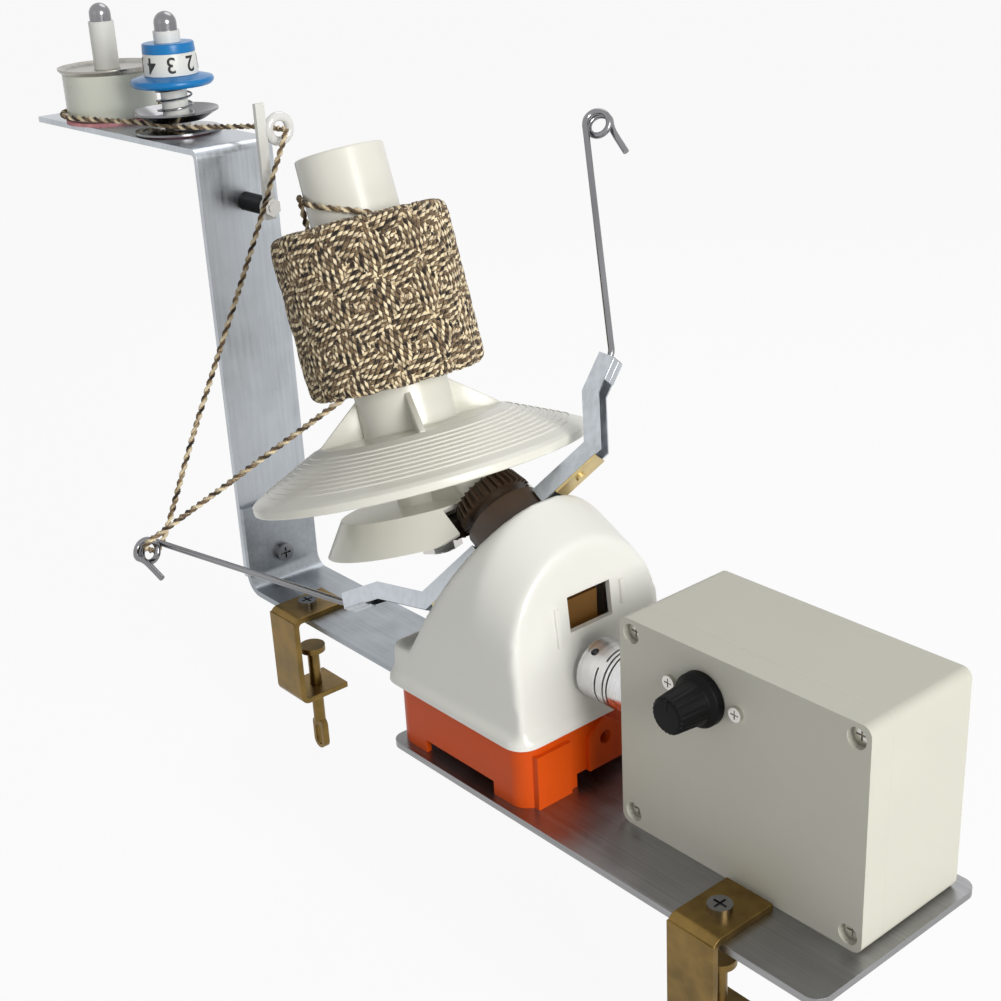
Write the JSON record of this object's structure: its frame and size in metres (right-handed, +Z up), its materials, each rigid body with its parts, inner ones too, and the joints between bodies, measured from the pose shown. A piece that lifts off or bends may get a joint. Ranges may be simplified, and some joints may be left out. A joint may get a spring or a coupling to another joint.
{
  "type": "electric yarn ball winder",
  "caption": "Bench yarn winder: a geared motor turns a two-armed flyer that lays yarn on a slow tilted spool, fed over a guide wheel, a spring tension dial and an eyelet on a tall post.",
  "frame": {"origin": "centre of the base plate's underside, on the table top", "axes": "+X along the plate from the yarn post to the motor box, +Z up, +Y to the back"},
  "size_m": [0.569, 0.194, 0.365],
  "materials": {
    "zinc_strip": "pale zinc plate",
    "plate_steel": "satin steel",
    "bright_steel": "bright plated steel",
    "yellow_zinc": "yellow zinc plate",
    "ivory_plastic": "gloss ivory moulding",
    "orange_plastic": "gloss orange moulding",
    "grey_plastic": "fine matt grain",
    "black_plastic": "satin black",
    "brown_plastic": "dark brown gear moulding",
    "coupling_aluminium": "turned aluminium",
    "cast_frame": "brown cast bronze",
    "bronze": "sintered bronze",
    "white_plastic": "white moulding",
    "clear_white_plastic": "cloudy white moulding",
    "flange_metal": "grey spun metal",
    "ceramic": "glazed white ceramic",
    "blue_plastic": "gloss blue moulding",
    "felt": "pink felt",
    "board": "green solder mask",
    "motor_steel": "plated motor can",
    "yarn": "brown melange wool"
  },
  "bodies": {
    "frame": {"base_plate": "plate_steel", "post_foot": "zinc_strip", "post": "zinc_strip", "plate_screws": "bright_steel", "left_clamp_frame": "yellow_zinc", "right_clamp_frame": "yellow_zinc", "winder_base": "orange_plastic", "hood": "ivory_plastic", "hood_screws": "bright_steel", "bearing_frame": "cast_frame", "shaft_bushes": "bronze", "spool_post": "bright_steel", "spool_housing": "ivory_plastic", "enclosure_body": "grey_plastic", "enclosure_lid": "grey_plastic", "enclosure_screws": "bright_steel", "speed_control": "black_plastic", "circuit_board": "board", "gearbox": "motor_steel", "motor": "motor_steel", "power_inlet": "black_plastic", "axle_bolts": "bright_steel", "white_sleeves": "white_plastic", "dome_nuts": "bright_steel", "felt_washers": "felt", "lower_tension_disc": "bright_steel", "upper_tension_disc": "bright_steel", "tension_spring": "bright_steel", "guide_stud": "bright_steel", "stud_sleeve": "black_plastic", "guide_bar": "white_plastic", "eyelet": "ceramic", "yarn_feed": "yarn", "yarn_run": "yarn", "yarn_lay": "yarn"},
    "input_drive": {"drive_shafts": "bright_steel", "drive_gear": "brown_plastic", "coupling": "coupling_aluminium"},
    "flyer": {"flyer_shaft": "bright_steel", "flyer_gear": "brown_plastic", "flyer_hub": "brown_plastic", "toothed_ring": "brown_plastic", "upper_arm": "zinc_strip", "lower_arm": "zinc_strip", "arm_plates": "yellow_zinc", "upper_wire": "bright_steel", "lower_wire": "bright_steel"},
    "spool": {"spool": "ivory_plastic", "spool_axle": "bright_steel", "spool_gear": "brown_plastic", "axle_nut": "bright_steel", "yarn_ball": "yarn", "yarn_tail": "yarn"},
    "speed_knob": {"speed_knob": "black_plastic"},
    "tension_dial": {"tension_dial": "blue_plastic"},
    "guide_wheel": {"guide_wheel": "clear_white_plastic", "wheel_flange": "flange_metal"},
    "left_clamp_screw": {"left_clamp_screw": "yellow_zinc"},
    "right_clamp_screw": {"right_clamp_screw": "yellow_zinc"}
  },
  "joints": [
    {"name": "flyer_spin", "type": "hinge", "parent": "frame", "child": "flyer", "pos_m": [-0.0882, 0, 0.103], "axis": [-0.8443, 0, 0.5358], "continuous": true, "deforming": ["yarn_run", "yarn_lay"]},
    {"name": "input_spin", "type": "hinge", "parent": "frame", "child": "input_drive", "pos_m": [0, 0, 0.053], "axis": [-1, 0, 0], "continuous": true},
    {"name": "spool_spin", "type": "hinge", "parent": "frame", "child": "spool", "pos_m": [-0.145, 0, 0.1203], "axis": [-0.309, 0, 0.9511], "continuous": true},
    {"name": "knob_turn", "type": "hinge", "parent": "frame", "child": "speed_knob", "pos_m": [0.0392, -0.0165, 0.075], "axis": [0, -1, 0], "range_deg": [-150, 150]},
    {"name": "dial_turn", "type": "hinge", "parent": "frame", "child": "tension_dial", "pos_m": [-0.338, 0.0105, 0.255], "axis": [0, 0, 1], "range_deg": [-160, 160]},
    {"name": "wheel_spin", "type": "hinge", "parent": "frame", "child": "guide_wheel", "pos_m": [-0.405, 0.0105, 0.234], "axis": [0, 0, 1], "continuous": true},
    {"name": "left_clamp_slide", "type": "slide", "parent": "frame", "child": "left_clamp_screw", "axis": [0, 0, 1], "range_m": [-0.016, 0.014]},
    {"name": "right_clamp_slide", "type": "slide", "parent": "frame", "child": "right_clamp_screw", "axis": [0, 0, 1], "range_m": [-0.016, 0.012]}
  ],
  "couplings": [
    {"joint": "input_spin", "follows": "flyer_spin", "ratio": -0.5},
    {"joint": "spool_spin", "follows": "flyer_spin", "ratio": -0.46875}
  ]
}
